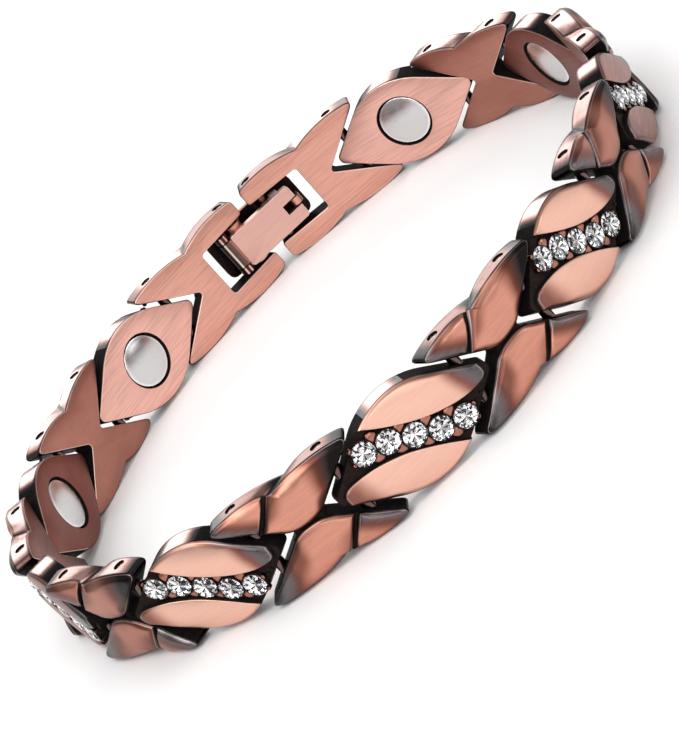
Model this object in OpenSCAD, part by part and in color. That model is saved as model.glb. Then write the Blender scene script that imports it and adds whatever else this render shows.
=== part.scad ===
// Link bracelet with leaf links, cross links, magnets and crystals, lying on its edge.
// The loop's axis is +Z, the clasp is at the back (+Y) and z = 0 is the surface it lies on.
// Every link is drawn flat in its own frame: x runs along the band, counter-clockwise seen
// from above, y points to the wrist and z is up. y = 0 is the line of the pins.

/* [Loop] */
// Number of leaf links
leaf_count = 9; // [7:1:9]
// Short width of the oval loop as a share of its long width
oval_ratio = 0.9; // [0.85:0.01:1]
// Place of the clasp round the oval, degrees from its long axis
clasp_place = 44.5; // [0:0.5:90]

/* [Links] */
// Pin to pin length of a leaf link
leaf_pitch = 11.6; // [11.2:0.1:12.2]
// Pin to pin length of a cross link
cross_pitch = 8; // [7.8:0.1:8.6]
// Pin to pin length of a clasp link
clasp_pitch = 9.2; // [9.2:0.1:10]
// Distance between the two clasp pins
clasp_gap = 3.4; // [3.4:0.1:3.6]
// Width of the band, the height of a cross link as it lies
band_w = 8.4; // [8.2:0.1:9]
// Width of a leaf link
leaf_w = 7.9; // [7.6:0.1:8.1]
// Half of the pointed ends' opening angle
tip_angle = 34; // [32:1:36]

/* [Thickness] */
// Inner face, next to the wrist
face_in = 0.85; // [0.8:0.05:1]
// Floor of the channel and of the grooves, on the outside
floor_out = 0.9; // [0.8:0.05:1]
// Crest of the raised leaves of the pattern
crest_out = 1.6; // [1.5:0.05:1.8]

/* [Stones, magnets and pins] */
// Diameter of a crystal
stone_d = 1.9; // [1.6:0.05:1.9]
// Diameter of a magnet
magnet_d = 4.6; // [4:0.1:4.8]
// Diameter of a link pin
pin_d = 0.9; // [0.8:0.05:0.9]

/* [Hidden] */
$fn = 48;
copper = [0.76, 0.48, 0.39];
link_gap = 0.5;          // between a leaf's side and the notch that takes it
leaf_arc = 6.5;          // radius of a leaf's long sides
leaf_round = 0.6;        // radius of a leaf's tips
edge_arc = 12;           // radius of the bowed edges of a cross link
edge_mid = 3.6;          // from the waist to the middle of a bowed edge
arm_reach = 2.45;        // arm tips past the pin
notch_round = 0.3;
pin_r = pin_d / 2;
hole_r = pin_r + 0.05;
pin_len = band_w - 0.4;  // pin ends stand a little below the edges
eps = 0.01;

// Pins on the oval
link_count = 2 * leaf_count + 1;
pitches = [for (i = [0:link_count - 1])
    i == 0 || i == link_count - 1 ? clasp_pitch : i % 2 == 1 ? leaf_pitch : cross_pitch];
solve_steps = 30;

function oval_point(a, t) = [a * cos(t), a * oval_ratio * sin(t)];
// The place t on the oval that is one pitch on from another, by halving
function next_place(a, t, pitch, low, high, n) =
    let (mid = (low + high) / 2)
    n == 0 ? mid
    : norm(oval_point(a, mid) - oval_point(a, t)) < pitch ? next_place(a, t, pitch, mid, high, n - 1)
    : next_place(a, t, pitch, low, mid, n - 1);
function places(a, t, i) =
    i == link_count ? [t]
    : concat([t], places(a, next_place(a, t, pitches[i], t, t + 60, solve_steps), i + 1));
// The gap left for the clasp on an oval of half length a, below zero where the links overlap
function left_over(a) =
    let (last = places(a, clasp_place, 0)[link_count], first = clasp_place + 360)
    sign(first - last) * norm(oval_point(a, first) - oval_point(a, last));
function oval_size(low, high, n) =
    let (mid = (low + high) / 2)
    n == 0 ? mid
    : left_over(mid) < clasp_gap ? oval_size(mid, high, n - 1) : oval_size(low, mid, n - 1);

oval_a = oval_size(20, 40, solve_steps);
oval_pins = [for (t = places(oval_a, clasp_place, 0)) oval_point(oval_a, t)];
clasp_side = (oval_pins[0] + oval_pins[link_count]) / 2;
to_back = 90 - atan2(clasp_side.y, clasp_side.x);
centre = [-0.104, -0.139];   // middle of the whole loop, from the oval
pins = [for (p = oval_pins)
    [p.x * cos(to_back) - p.y * sin(to_back), p.x * sin(to_back) + p.y * cos(to_back)] - centre];

// Outlines, as points in x and z
function arc(c, r, from, to, n) =
    [for (k = [0:n]) let (a = from + (to - from) * k / n) c + r * [cos(a), sin(a)]];
function flip(points) = [for (i = [len(points) - 1:-1:0]) points[i]];
function times(points, s) = [for (p = points) [p.x * s.x, p.y * s.y]];
function round_box(low, high, r) = concat(
    arc([high.x - r, high.y - r], r, 0, 90, 4), arc([low.x + r, high.y - r], r, 90, 180, 4),
    arc([low.x + r, low.y + r], r, 180, 270, 4), arc([high.x - r, low.y + r], r, 270, 360, 4));

leaf_half = leaf_w / 2;
side_z = leaf_half - leaf_arc * (1 - cos(tip_angle));                  // where side meets arc
sharp_tip = leaf_arc * sin(tip_angle) + side_z / tan(tip_angle);       // tip before rounding
tip_mid = sharp_tip - leaf_round / sin(tip_angle);
leaf_outline = concat(
    arc([tip_mid, 0], leaf_round, tip_angle - 90, 90 - tip_angle, 6),
    arc([0, leaf_half - leaf_arc], leaf_arc, 90 - tip_angle, 90 + tip_angle, 10),
    arc([-tip_mid, 0], leaf_round, 90 + tip_angle, 270 - tip_angle, 6),
    arc([0, leaf_arc - leaf_half], leaf_arc, 270 - tip_angle, 270 + tip_angle, 10));

// A notch's sides run beside the leaf in it; its apex is this far short of the pin
notch_reach = sharp_tip + link_gap / sin(tip_angle) - leaf_pitch / 2;
function notch_z(past_apex) = past_apex * tan(tip_angle);
function edge_z(x) = band_w / 2 - edge_arc + sqrt(pow(edge_arc, 2) - pow(abs(x) - edge_mid, 2));
// The round bottom of a notch that opens to +x
function notch_bottom(apex) = arc([apex + notch_round / sin(tip_angle), 0], notch_round,
    270 - tip_angle, 90 + tip_angle, 4);
// The bowed upper edge from x = to back to x = from, past the waist at x = 0
function bowed(from, to, n) = [for (k = [0:n]) let (x = to + (from - to) * k / n) [x, edge_z(x)]];

cross_apex = cross_pitch / 2 - notch_reach;
cross_tip = cross_pitch / 2 + arm_reach;
cross_side = concat([[cross_tip, notch_z(cross_tip - cross_apex)]], bowed(0, cross_tip, 8));
cross_outline = concat(
    notch_bottom(cross_apex), cross_side, flip(times(cross_side, [-1, 1])),
    flip(times(notch_bottom(cross_apex), [-1, 1])),
    times(cross_side, [-1, -1]), flip(times(cross_side, [1, -1])));

// Frames of the links and of the clasp
module on_chord(a, b) {
    way = b - a;
    translate([(a.x + b.x) / 2, (a.y + b.y) / 2, band_w / 2])
        rotate([0, 0, atan2(way.y, way.x)]) children();
}
module at_link(i) on_chord(pins[i], pins[i + 1]) children();
module at_clasp() on_chord(pins[link_count], pins[0]) children();

// An outline drawn in x and z, from its outer to its inner side
module slab(out, inner) {
    translate([0, inner, 0]) rotate([90, 0, 0]) linear_extrude(inner + out) children();
}
// A long drum that gives a raised leaf its round back
module drum(mid, turn, r, crest) {
    translate([mid.x, r - crest, mid.y]) rotate([0, 90 - turn, 0]) cylinder(h = 30, r = r, center = true);
}
module raised(region, mid, turn, r, crest) {
    intersection() {
        slab(crest_out + 1, -face_in / 2) intersection() {
            children();
            polygon(region);
        }
        drum(mid, turn, r, crest);
    }
}
module pin_hole(x) translate([x, 0, 0]) cylinder(h = 2 * band_w, r = hole_r, center = true);
module half_turn() rotate([0, 180, 0]) children();

// Leaf link: two raised leaves with a channel of stones between them
channel_turn = -30;
channel_half = 1.2;
channel_flat = 0.45;     // upper edge of the lower leaf's blunt end
lobe_mid = 2.75;         // from the channel's middle to the crest of a raised leaf
lobe_r = 2.4;
magnet_r = magnet_d / 2;
magnet_floor = 0.3;      // outer end of the magnet's pocket
seat_r = 0.5;
seat_floor = 0.55;
stone_places = [[-3.68, 1.64], [-1.76, 1.03], [0, 0], [1.76, -1.03], [3.68, -1.64]];

function across(d) = [-sin(channel_turn) * d, cos(channel_turn) * d];
function along(d, s) = across(d) + s * [cos(channel_turn), sin(channel_turn)];
bend_s = (channel_flat - across(-channel_half).y) / sin(channel_turn);
lower_region = [along(-channel_half, 8), along(-channel_half, bend_s), [-6.7, channel_flat],
    [-6.7, -5], [8, -9]];

module leaf() {
    color(copper) difference() {
        union() {
            slab(floor_out, face_in) polygon(leaf_outline);
            for (side = [0, 1]) rotate([0, 180 * side, 0])
                raised(lower_region, across(-lobe_mid), channel_turn, lobe_r, crest_out) polygon(leaf_outline);
        }
        pin_hole(leaf_pitch / 2);
        pin_hole(-leaf_pitch / 2);
        translate([0, face_in + eps, 0]) rotate([90, 0, 0])
            cylinder(h = face_in + magnet_floor + eps, r = magnet_r + 0.1);
        for (p = stone_places) translate([p.x, -seat_floor, p.y]) rotate([90, 0, 0])
            cylinder(h = 2, r = seat_r);
    }
}

// Magnet: a disc with a slightly domed face
magnet_dome = 22;
magnet_edge = face_in + 0.02;
magnet_profile = concat([[0, -magnet_floor + 0.05], [magnet_r, -magnet_floor + 0.05]],
    [for (k = [4:-1:0]) let (x = magnet_r * k / 4)
        [x, magnet_edge + sqrt(pow(magnet_dome, 2) - pow(x, 2)) - sqrt(pow(magnet_dome, 2) - pow(magnet_r, 2))]]);
module magnet() color("silver") rotate([-90, 0, 0]) rotate_extrude() polygon(magnet_profile);

// Crystal: table, twelve crown facets, thin girdle and twelve pavilion facets
stone_r = stone_d / 2;
girdle_out = 1.3;
crown_h = 0.28;
table_r = 0.6;
pavilion_h = 0.65;
girdle_h = 0.05;
module crystal() {
    rotate([90, 0, 0]) union() {
        translate([0, 0, girdle_h]) cylinder(h = crown_h, r1 = stone_r, r2 = table_r, $fn = 12);
        cylinder(h = girdle_h, r = stone_r, $fn = 12);
        translate([0, 0, -pavilion_h]) cylinder(h = pavilion_h, r1 = 0.04, r2 = stone_r, $fn = 12);
    }
}
module stones() {
    color([0.92, 0.94, 0.97]) for (p = stone_places) translate([p.x, -girdle_out, p.y]) crystal();
}

// Cross link: a wide raised leaf and a small one above, the same turned below
groove = 0.12;           // half width of a groove between raised leaves
groove_top = -0.85;      // where the groove between them meets the edge
groove_low = -3.2;       // and where it meets the notch
wide_region = [[groove_top + groove, 5], [groove_low + groove, 1.3], [-1.3, groove], [1.3, groove], [9, 5]];
small_region = [[groove_top - groove, 5], [groove_low - groove, 1.3], [-9, 3], [-9, 5]];
module cross_top() {
    raised(wide_region, [1.4, 2.3], 18, 3.1, crest_out - 0.05) children();
    raised(small_region, [-3.7, 3.1], -14, 2, crest_out - 0.25) children();
}

module cross_link() {
    color(copper) difference() {
        union() {
            slab(floor_out, face_in) polygon(cross_outline);
            cross_top() polygon(cross_outline);
            half_turn() cross_top() polygon(cross_outline);
        }
        pin_hole(cross_pitch / 2);
        pin_hole(-cross_pitch / 2);
    }
}

// Clasp link: a notch for the leaf at one end, two square arms with a slot at the other
slot_half = 2.3;
slot_depth = 4.15;       // from the clasp pin to the slot's end
arm_end = 1.1;           // square arm ends past the clasp pin
arm_round = 0.5;
clasp_apex = clasp_pitch / 2 - notch_reach;
clasp_tip = clasp_pitch / 2 + arm_reach;
waist_x = clasp_pitch / 2 - cross_pitch / 2;
square_end = -clasp_pitch / 2 - arm_end;
arm_top = edge_z(square_end - waist_x) - arm_round;
clasp_side_edge = concat(
    [[clasp_tip, notch_z(clasp_tip - clasp_apex)]],
    [for (p = bowed(square_end + arm_round - waist_x, clasp_tip - waist_x, 12)) p + [waist_x, 0]],
    arc([square_end + arm_round, arm_top], arm_round, 100, 180, 4));
clasp_outline = concat(notch_bottom(clasp_apex), clasp_side_edge, flip(times(clasp_side_edge, [1, -1])));

module clasp_shape() {
    difference() {
        polygon(clasp_outline);
        translate([square_end - 1, -slot_half])
            square([slot_depth + arm_end + 1, 2 * slot_half]);
    }
}
module clasp_link() {
    color(copper) difference() {
        union() {
            slab(floor_out, face_in) clasp_shape();
            for (side = [0, 1]) rotate([180 * side, 0, 0]) mirror([0, side, 0])
                raised([[-9, groove], [9, groove], [9, 6], [-9, 6]], [0, 3], 0, 2.9, crest_out - 0.05)
                    clasp_shape();
        }
        pin_hole(clasp_pitch / 2);
        pin_hole(-clasp_pitch / 2);
    }
}

// Pins, all alike
module link_pin() color("gray") cylinder(h = pin_len, r = pin_r, center = true);

// Clasp base: an outer plate on the pin of the first link, with the lid's ears and a post
clasp_half = clasp_gap / 2;
base_half = 2.1;         // half height, free of the slot
base_reach = 4.8;        // each way from the middle
base_out = 1.75;
base_t = 0.8;
base_bend = 27;          // radius of the plate's outer side
lug_r = 0.8;
hinge_x = 3.3;
hinge_y = 0.45;
hinge_r = 0.6;
hinge_pin_r = 0.3;
knuckle_half = 1.35;
ear_in = 1.45;
post = [-4.4, -3.4];
post_half = 0.35;
post_top = 1.55;
saddle = [-2.1, -1.1];

module base_plate() {
    intersection() {
        translate([0, base_bend - base_out, 0]) difference() {
            cylinder(h = 2 * base_half, r = base_bend, center = true, $fn = 180);
            cylinder(h = 2 * base_half + 2, r = base_bend - base_t, center = true, $fn = 180);
        }
        slab(base_out + 1, 0) polygon(round_box([-base_reach, -base_half], [base_reach, base_half], 0.7));
    }
}
// A block on the plate from x = a to x = b, up to y = top, between two heights
module block(a, b, top, low, high) {
    translate([a, -base_out + base_t / 2, low]) cube([b - a, top + base_out - base_t / 2, high - low]);
}
module rod(x, y, r, low, high) translate([x, y, low]) cylinder(h = high - low, r = r);

module clasp_base() {
    color(copper) difference() {
        union() {
            base_plate();
            rod(clasp_half, 0, lug_r, -base_half, base_half);
            block(clasp_half - lug_r, clasp_half + lug_r, 0, -base_half, base_half);
            block(saddle.x, saddle.y, -pin_r - 0.05, -base_half, base_half);
            block(post.x, post.y, post_top - 0.5, -post_half, post_half);
            rod((post.x + post.y) / 2, post_top - 0.5, 0.5, -post_half, post_half);
            for (side = [-1, 1]) {
                ears = side > 0 ? [ear_in, base_half] : [-base_half, -ear_in];
                rod(hinge_x, hinge_y, hinge_r, ears.x, ears.y);
                block(hinge_x - hinge_r, hinge_x + hinge_r, hinge_y, ears.x, ears.y);
            }
        }
        rod(clasp_half, 0, hole_r, -9, 9);
        rod(hinge_x, hinge_y, hinge_pin_r + 0.05, -9, 9);
    }
}

// Clasp lid: a plate hinged on the base, with hooks that hold the other link's pin
lid_half = 1.7;
lid_end = -4;
lid_heel = 2.75;
lid_low = 0.95;
lid_top = 1.6;
lid_notch = 1.5;
lid_notch_half = 0.48;
hook = [-3.15, -2.25];
hook_low = -0.6;
hook_in = 0.6;
rib = [-2.2, -1.2];

module lid_block(a, b, low, top, from, to) translate([a, low, from]) cube([b - a, top - low, to - from]);

module clasp_lid() {
    color(copper) difference() {
        union() {
            slab(-lid_low, lid_top) difference() {
                polygon(round_box([lid_end, -lid_half], [lid_heel, lid_half], 0.3));
                translate([lid_end - 1, -lid_notch_half]) square([lid_notch + 1, 2 * lid_notch_half]);
            }
            lid_block(rib.x, rib.y, pin_r + 0.05, lid_low + 0.1, -lid_half, lid_half);
            for (low = [hook_in, -lid_half])
                lid_block(hook.x, hook.y, hook_low, lid_low + 0.1, low, low + lid_half - hook_in);
            rod(hinge_x, hinge_y, hinge_r, -knuckle_half, knuckle_half);
            lid_block(lid_heel - 0.35, hinge_x, hinge_y + 0.25, hinge_y + hinge_r, -knuckle_half, knuckle_half);
        }
        rod(hinge_x, hinge_y, hinge_pin_r + 0.05, -9, 9);
    }
}
module hinge_pin() color("gray") rod(hinge_x, hinge_y, hinge_pin_r, -base_half + 0.1, base_half - 0.1);

for (i = [1:leaf_count]) {
    at_link(2 * i - 1) leaf();
    at_link(2 * i - 1) magnet();
    at_link(2 * i - 1) stones();
}
for (i = [1:leaf_count - 1])
    at_link(2 * i) cross_link();
for (i = [1:2 * leaf_count])
    translate([pins[i].x, pins[i].y, band_w / 2]) link_pin();
at_link(0) clasp_link();  // clasp_link_first
at_link(link_count - 1) half_turn() clasp_link();  // clasp_link_last
translate([pins[0].x, pins[0].y, band_w / 2]) link_pin();  // clasp_pin_first
translate([pins[link_count].x, pins[link_count].y, band_w / 2]) link_pin();  // clasp_pin_last
at_clasp() clasp_base();
at_clasp() clasp_lid();
at_clasp() hinge_pin();  // clasp_hinge_pin
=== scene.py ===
import bmesh
import bpy
import numpy as np
from mathutils import Matrix, Vector


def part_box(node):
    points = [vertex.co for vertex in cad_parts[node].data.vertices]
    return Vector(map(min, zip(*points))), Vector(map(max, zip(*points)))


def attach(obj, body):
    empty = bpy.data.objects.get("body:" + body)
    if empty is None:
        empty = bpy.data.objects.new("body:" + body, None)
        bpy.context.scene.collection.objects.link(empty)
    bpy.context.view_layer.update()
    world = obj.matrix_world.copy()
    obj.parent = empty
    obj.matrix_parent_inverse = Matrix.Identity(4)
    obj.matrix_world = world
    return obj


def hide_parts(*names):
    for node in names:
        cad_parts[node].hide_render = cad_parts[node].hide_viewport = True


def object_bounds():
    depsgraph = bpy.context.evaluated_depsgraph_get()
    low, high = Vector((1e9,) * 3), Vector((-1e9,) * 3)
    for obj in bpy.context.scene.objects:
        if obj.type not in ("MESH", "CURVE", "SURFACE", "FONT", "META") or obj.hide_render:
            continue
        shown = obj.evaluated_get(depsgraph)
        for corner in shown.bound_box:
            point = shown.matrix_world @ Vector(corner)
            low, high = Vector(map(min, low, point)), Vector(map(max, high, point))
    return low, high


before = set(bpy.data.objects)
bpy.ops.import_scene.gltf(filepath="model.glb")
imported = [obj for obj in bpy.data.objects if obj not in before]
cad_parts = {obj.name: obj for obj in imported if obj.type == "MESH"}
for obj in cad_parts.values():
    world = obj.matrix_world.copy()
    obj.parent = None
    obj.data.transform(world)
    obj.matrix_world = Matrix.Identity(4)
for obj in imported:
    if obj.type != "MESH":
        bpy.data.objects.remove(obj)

cadBox = [list(corner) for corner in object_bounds()]
mm = 0.001
print("frame:", len(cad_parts), "nodes")


# Paths in a link's own frame: x along the band, z up, seen from outside. Closed paths run counter-clockwise.

def arcPath(x, z, r, start, end, steps):
    # points on a circle from one angle to another, in degrees
    a = np.radians(np.linspace(start, end, steps + 1))
    return np.stack([x + r * np.cos(a), z + r * np.sin(a)], 1)


def linePath(a, b, steps):
    t = np.linspace(0, 1, steps + 1)[:, None]
    return (1 - t) * np.array(a) + t * np.array(b)


def cornerPath(a, b, c, steps):
    # from a to c, drawn towards b: the quadratic curve (1-t)^2 a + 2t(1-t) b + t^2 c
    t = np.linspace(0, 1, steps + 1)[:, None]
    return (1 - t) ** 2 * np.array(a) + 2 * t * (1 - t) * np.array(b) + t ** 2 * np.array(c)


def smoothPath(points, steps):
    # Catmull-Rom curve through the points, with so many steps to a span
    p = np.array(points, float)
    p = np.concatenate([2 * p[:1] - p[1:2], p, 2 * p[-1:] - p[-2:-1]])
    t = np.linspace(0, 1, steps, endpoint=False)[None, :, None]
    a, b, c, d = (p[k:len(p) - 3 + k, None, :] for k in range(4))
    slope, bend, twist = c - a, 2 * a - 5 * b + 4 * c - d, 3 * b - a - 3 * c + d
    spans = 0.5 * (2 * b + slope * t + bend * t ** 2 + twist * t ** 3)
    return np.concatenate([spans.reshape(-1, 2), p[-2:-1]])


def joinPaths(*paths):
    # paths that each start where the one before ends, as one path without its last point
    return np.concatenate([p[:-1] for p in paths])


def inset(path, depth):
    # a closed path moved inwards along its normals
    along = np.roll(path, -1, 0) - np.roll(path, 1, 0)
    along /= np.linalg.norm(along, axis=1)[:, None]
    return path + depth * np.stack([-along[:, 1], along[:, 0]], 1)


def lift(path, y):
    # points in x and z given their depth y, which grows towards the wrist
    y = np.broadcast_to(y, len(path))
    return np.stack([path[:, 0], y, path[:, 1]], 1)


def wayAndSide(a, b):
    # the unit vector from a to b and the one to its left
    way = (b - a) / np.linalg.norm(b - a)
    return way, np.array([-way[1], way[0]])


def softStep(low, high, x):
    t = np.clip((x - low) / (high - low), 0, 1)
    return t * t * (3 - 2 * t)


# Shells are dictionaries of points, faces, each face's material and each point's edge marks and its patina
# and painted shade

def shell(rings, start="flat", end="flat", finish=0, edge=0.0, patina=0.0):
    # rings joined by quads from the inner side outwards; each end is one face or a fan round its middle
    rings = np.asarray(rings, float)
    count, size = rings.shape[:2]
    points = rings.reshape(-1, 3)
    here = np.arange(size)
    nextOne = (here + 1) % size
    row = (np.arange(count - 1) * size)[:, None]
    quads = np.stack([row + here, row + nextOne, row + size + nextOne, row + size + here], -1)
    faces = quads.reshape(-1, 4).tolist()
    edge = np.repeat(np.broadcast_to(edge, count), size)    # one value to a ring
    patina = np.broadcast_to(patina, (count, size)).reshape(-1)
    last = (count - 1) * size
    for kind, ring, flip in ((start, here, True), (end, last + here, False)):
        if kind == "flat":
            faces.append((ring[::-1] if flip else ring).tolist())
        if kind == "fan":
            middle = len(points)
            points = np.concatenate([points, points[ring].mean(0)[None]])
            edge = np.append(edge, edge[ring].mean())
            patina = np.append(patina, patina[ring].mean())
            pair = np.stack([ring, np.roll(ring, -1), np.full(size, middle)], 1)
            faces += (pair[:, [1, 0, 2]] if flip else pair).tolist()
    finish = np.full(len(faces), finish)
    return {"points": points, "faces": faces, "finish": finish, "edge": edge, "patina": patina}


def lathe(profile, sides, x=0.0, z=0.0, start="flat", end="flat", **look):
    # circles of radius r at depth y round a line along y, from the inner end outwards
    a = np.linspace(0, 2 * np.pi, sides, endpoint=False)
    r, y = np.array(profile, float).T
    rings = np.stack([x + r[:, None] * np.cos(a), y[:, None] + 0 * a, z + r[:, None] * np.sin(a)], -1)
    return shell(rings, start, end, **look)


def uprightRing(x, radius, z):
    # a circle of points round an upright line
    a = np.linspace(0, 2 * np.pi, 32, endpoint=False)
    return np.stack([x + radius * np.cos(a), radius * np.sin(a), z + 0 * a], 1)


def together(shells):
    shift = np.cumsum([0] + [len(s["points"]) for s in shells])
    whole = {key: np.concatenate([s[key] for s in shells]) for key in ("points", "finish", "edge", "patina")}
    whole["faces"] = [[v + n for v in f] for s, n in zip(shells, shift) for f in s["faces"]]
    return whole


def halfTurn(s):
    # turned half round the y axis
    return {**s, "points": s["points"] * [-1, 1, -1]}


# Places of the links: each stands on the line between two pins

def boxMiddle(node):
    low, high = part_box(node)
    return np.array([(low[k] + high[k]) / 2 for k in range(3)])


leafCount = 9
pinNames = ["clasp_pin_first"] + ["link_pin_%d" % (k + 1) for k in range(2 * leafCount)] + ["clasp_pin_last"]
pins = np.array([boxMiddle(name)[:2] for name in pinNames])
bandMiddle = (cadBox[0][2] + cadBox[1][2]) / 2


def chordPlace(a, b, turn=1):
    # the frame between two pins, in metres: along the chord, towards the wrist, up
    way = (b - a) / np.linalg.norm(b - a) * turn
    turnBack = np.array([[way[0], way[1], 0], [-way[1] * turn, way[0] * turn, 0], [0, 0, turn]])
    return turnBack, np.array([*(a + b) / 2, bandMiddle])


# Meshes and objects

def newMesh(name, points, faces):
    mesh = bpy.data.meshes.new(name)
    mesh.from_pydata(points.tolist(), [], faces)
    return mesh


def newObject(name, data):
    obj = bpy.data.objects.new(name, data)
    bpy.context.collection.objects.link(obj)
    return obj


def pointsOf(mesh):
    points = np.zeros(3 * len(mesh.vertices))
    mesh.vertices.foreach_get("co", points)
    return points.reshape(-1, 3)


def setAttributes(mesh, **given):
    # one number or one vector for each point
    for name, values in given.items():
        kind, field = ("FLOAT", "value") if values.ndim == 1 else ("FLOAT_VECTOR", "vector")
        made = mesh.attributes.new(name, kind, "POINT")
        made.data.foreach_set(field, values.astype(np.float32).ravel())


def newTemplate(name, s, materials, sharp=40):
    mesh = newMesh(name, s["points"], s["faces"])
    setAttributes(mesh, edge=s["edge"], patina=s["patina"], inLink=s["points"])
    for m in materials:
        mesh.materials.append(m)
    mesh.polygons.foreach_set("material_index", s["finish"].astype(np.int32))
    mesh.shade_smooth()
    mesh.set_sharp_from_angle(angle=np.radians(sharp))
    return mesh


placeShade = {
    # painted shade added to the outer faces, walls and inner faces of links by their place on the loop
    "outer": {"leaf_copper": 0.46, "cross_copper": 0.34},
    "walls": {"leaf_copper": 0.0, "cross_copper": 0.4},
    "inner": 0.5,
    "outerDepth": (-0.8, -1.3), "innerDepth": (0.7, 0.84),    # where these faces begin
    "ends": (0.5, 0.95), "front": (0.2, 0.8),    # how far the way to the wrist points along x or y
}


def placeCopy(name, template, place, body, slot, *nodes):
    # a mesh moved to a link's place; painted shade darkens links at the loop's ends and in front
    turn, origin = place
    mesh = template.copy()
    mesh.name = name
    points = pointsOf(mesh)
    dark = np.zeros(len(points))
    mesh.attributes["patina"].data.foreach_get("value", dark)
    if slot in placeShade["outer"]:
        depth, toWrist = points[:, 1], turn[1]
        outer, inner = softStep(*placeShade["outerDepth"], depth), softStep(*placeShade["innerDepth"], depth)
        wall = 1 - outer - inner
        ends, front = softStep(*placeShade["ends"], abs(toWrist[0])), softStep(*placeShade["front"], toWrist[1])
        outer = outer * np.clip(1 - dark, 0, 1) ** 2    # less is added where it is dark already
        dark = dark + ends * (placeShade["outer"][slot] * outer + placeShade["inner"] * inner)
        dark = dark + placeShade["walls"][slot] * front * wall
    mesh.attributes["patina"].data.foreach_set("value", dark)
    mesh.vertices.foreach_set("co", (origin + mm * (points @ turn)).astype(np.float32).ravel())
    mesh.update()
    obj = newObject(name, mesh)
    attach(obj, body)
    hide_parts(*nodes)


# Materials

def feed(tree, socket, value):
    # a link where the value is another node's socket, else a plain value
    if isinstance(value, bpy.types.NodeSocket):
        tree.links.new(value, socket)
    elif value is not None:
        socket.default_value = value


def fill(tree, node, **values):
    for key, value in values.items():
        feed(tree, node.inputs[key.replace("_", " ")], value)


def newGroup(name, inputs, outputs):
    # a socket's kind is told by its value, and without one it is a vector
    kinds = {float: "NodeSocketFloat", tuple: "NodeSocketColor", type(None): "NodeSocketVector"}
    group = bpy.data.node_groups.new(name, "ShaderNodeTree")
    for way, sockets in (("INPUT", inputs), ("OUTPUT", outputs)):
        for label, value in sockets.items():
            socket = group.interface.new_socket(name=label, in_out=way, socket_type=kinds[type(value)])
            if value is not None:
                socket.default_value = value
    return group, group.nodes.new("NodeGroupInput").outputs, group.nodes.new("NodeGroupOutput").inputs


def math(tree, operation, a, b=None, c=None, clamp=False):
    node = tree.nodes.new("ShaderNodeMath")
    node.operation = operation
    node.use_clamp = clamp
    for socket, value in zip(node.inputs, (a, b, c)):
        feed(tree, socket, value)
    return node.outputs[0]


def noise(tree, vector, scale, detail=2.0, rough=0.5):
    node = tree.nodes.new("ShaderNodeTexNoise")
    fill(tree, node, Scale=scale, Detail=detail, Roughness=rough, Vector=vector)
    return node.outputs["Fac"]


def mixColour(tree, amount, a, b):
    node = tree.nodes.new("ShaderNodeMix")
    node.data_type = "RGBA"
    for place, value in ((0, amount), (6, a), (7, b)):    # 6 and 7 are the colours' sockets
        feed(tree, node.inputs[place], value)
    return node.outputs[2]


def mapRange(tree, value, low, high, toLow, toHigh, smooth=True):
    node = tree.nodes.new("ShaderNodeMapRange")
    node.interpolation_type = "SMOOTHSTEP" if smooth else "LINEAR"
    fill(tree, node, Value=value, From_Min=low, From_Max=high, To_Min=toLow, To_Max=toHigh)
    return node.outputs["Result"]


def attribute(tree, name, output):
    node = tree.nodes.new("ShaderNodeAttribute")
    node.attribute_name = name
    return node.outputs[output]


def useGroup(tree, group, **values):
    node = tree.nodes.new("ShaderNodeGroup")
    node.node_tree = group
    fill(tree, node, **values)
    return node.outputs


def brushGroup():
    # fine lines along the band: noise drawn out along x, coarse and fine together
    group, given, put = newGroup("brushLines", {"Vector": None, "Stretch": 0.3, "Density": 9.0},
                                 {"Lines": 0.0, "Cloud": 0.0})
    split = group.nodes.new("ShaderNodeSeparateXYZ")
    feed(group, split.inputs[0], given["Vector"])
    join = group.nodes.new("ShaderNodeCombineXYZ")
    for key, factor in (("X", "Stretch"), ("Y", "Density"), ("Z", "Density")):
        feed(group, join.inputs[key], math(group, "MULTIPLY", split.outputs[key], given[factor]))
    fine = noise(group, join.outputs[0], 1.0, 3.0, 0.65)
    coarse = math(group, "MULTIPLY", noise(group, join.outputs[0], 0.45, 1.0), 0.4)
    feed(group, put["Lines"], math(group, "MULTIPLY_ADD", fine, 0.6, coarse))
    feed(group, put["Cloud"], noise(group, given["Vector"], 0.35))
    return group


patinaLook = {
    "cloud": 0.6, "ragged": 0.45,    # strength of the cloud beside the lines, and of both
    # the patina-and-shade value or the edge between which a colour is laid on, and how much of it
    "red": (0.05, 0.55, 0.0, 1.0), "grey": (0.35, 0.85, 0.0, 1.0), "black": (0.78, 1.0, 0.0, 0.92),
    "wornAndGlint": (-0.2, -1.0, 0.0, 0.9), "edge": (0.3, 1.0, 0.0, 1.0),
    # near black for black patina and for painted shade: dark lines, notches and recesses
    "blackPatinaAndShade": (0.012, 0.01, 0.01, 1),
}
# the bright colour of worn edges and of painted highlights
wornAndGlintCopper = (0.95, 0.76, 0.68, 1)


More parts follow.
